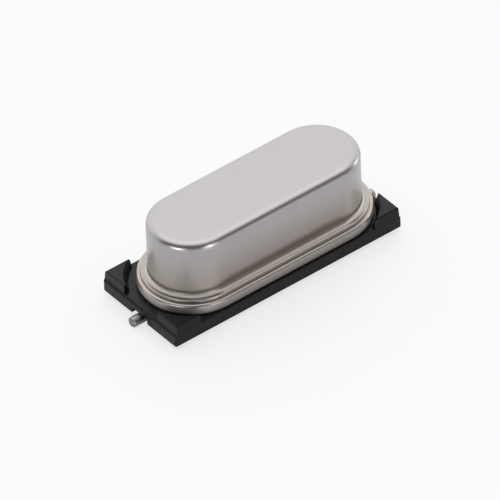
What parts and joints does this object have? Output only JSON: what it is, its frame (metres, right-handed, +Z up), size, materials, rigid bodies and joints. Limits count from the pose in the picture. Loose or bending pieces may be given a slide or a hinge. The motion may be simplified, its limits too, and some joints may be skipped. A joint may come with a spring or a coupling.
{
  "type": "quartz crystal unit",
  "caption": "Low obround metal can welded to a glass-sealed header on a black moulded insulator, with bent wire leads that solder flat to a circuit board.",
  "frame": {"origin": "middle of the footprint, on the board plane that the two leads stand on", "axes": "+X along the can towards the right lead, +Y across it, +Z up from the board"},
  "size_m": [0.0126, 0.0048, 0.004],
  "materials": {
    "can_nickel": "satin nickel plate",
    "header_nickel": "satin nickel plate, a little duller along the weld",
    "seal_glass": "fused dark green glass",
    "tinned_wire": "satin tin",
    "black_plastic": "moulded, low sheen",
    "clip_metal": "stamped, satin",
    "quartz": "lapped and etched",
    "electrode_silver": "evaporated film",
    "silver_adhesive": "cured, silver filled"
  },
  "bodies": {
    "root": {"can": "can_nickel", "header": "header_nickel", "glass_seal_left": "seal_glass", "glass_seal_right": "seal_glass", "lead_left": "tinned_wire", "lead_right": "tinned_wire", "insulator": "black_plastic", "clip_left": "clip_metal", "clip_right": "clip_metal", "quartz_blank": "quartz", "electrode_upper": "electrode_silver", "electrode_lower": "electrode_silver", "adhesive_left": "silver_adhesive", "adhesive_right": "silver_adhesive"}
  },
  "joints": []
}
